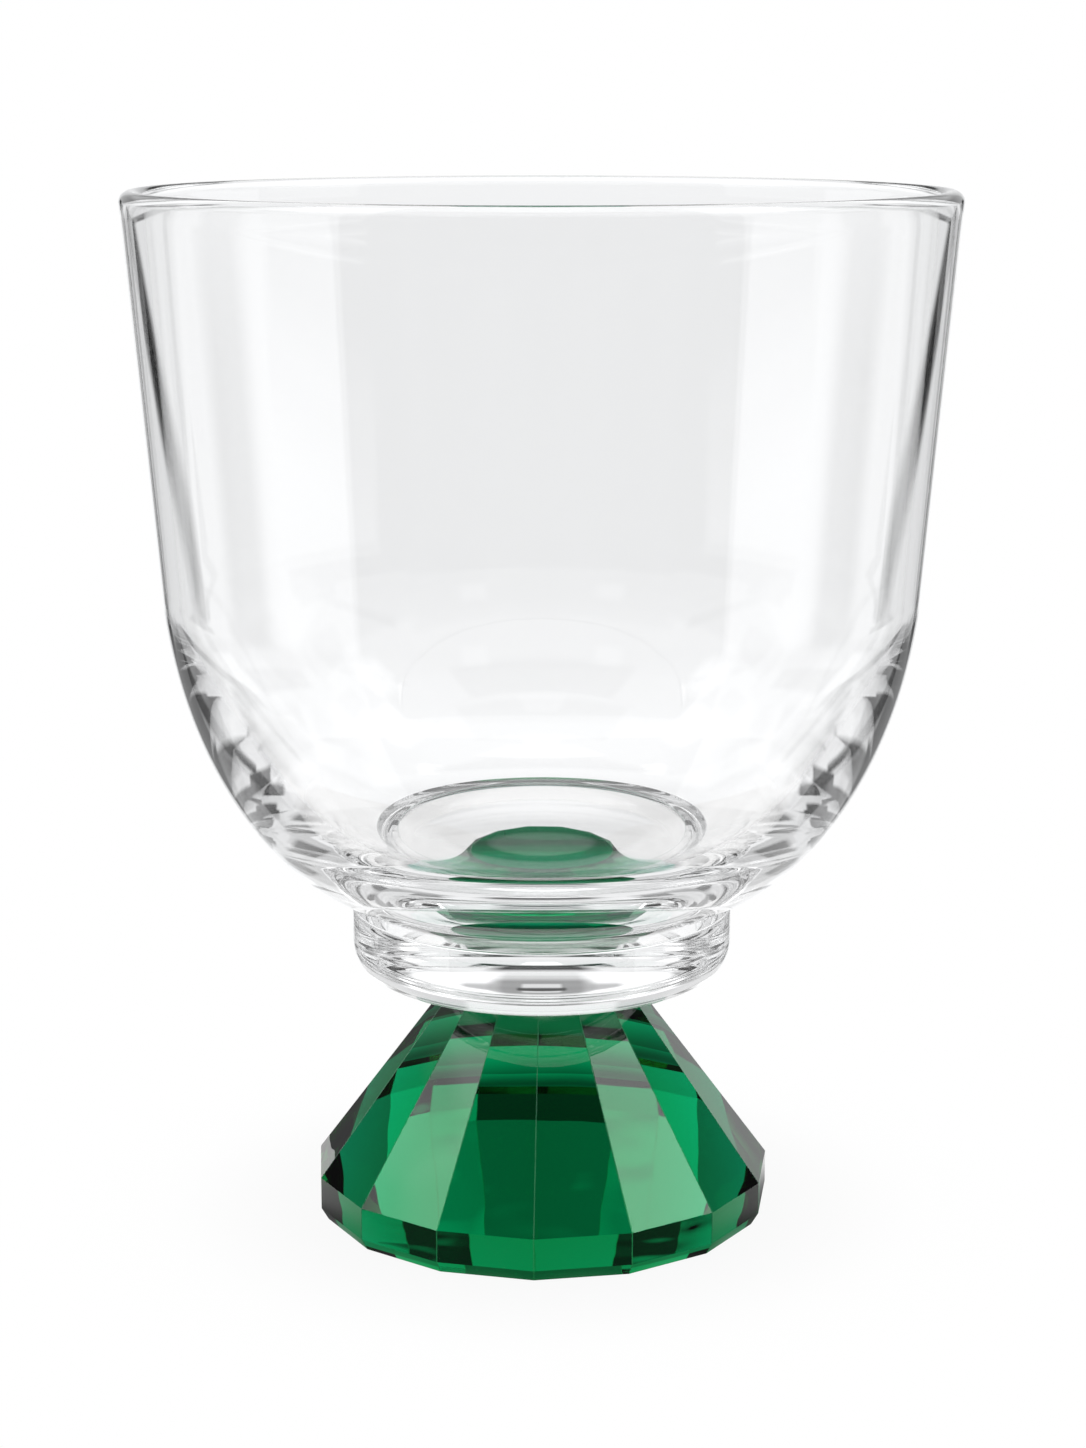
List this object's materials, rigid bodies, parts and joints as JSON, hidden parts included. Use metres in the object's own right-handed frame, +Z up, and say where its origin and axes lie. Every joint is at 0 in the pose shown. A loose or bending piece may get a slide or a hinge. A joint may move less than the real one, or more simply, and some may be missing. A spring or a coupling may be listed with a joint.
{
  "type": "footed drinking glass",
  "caption": "Clear flared drinking bowl with a heavy floor, bonded to a clear round collar disc and a flared cut foot of green crystal; stands on its flat underside.",
  "frame": {"origin": "middle of the foot's flat underside, on the surface that the glass stands on", "axes": "+Z up along the turning axis through foot, disc and bowl; -Y towards the picture's viewer"},
  "size_m": [0.0904, 0.0904, 0.1147],
  "materials": {
    "clear_crystal": "polished clear crystal",
    "green_crystal": "polished green cut crystal",
    "clear_adhesive": "cured clear resin film"
  },
  "bodies": {
    "root": {"bowl": "clear_crystal", "upper_bond_film": "clear_adhesive", "collar_disc": "clear_crystal", "lower_bond_film": "clear_adhesive", "faceted_foot": "green_crystal"}
  },
  "joints": []
}
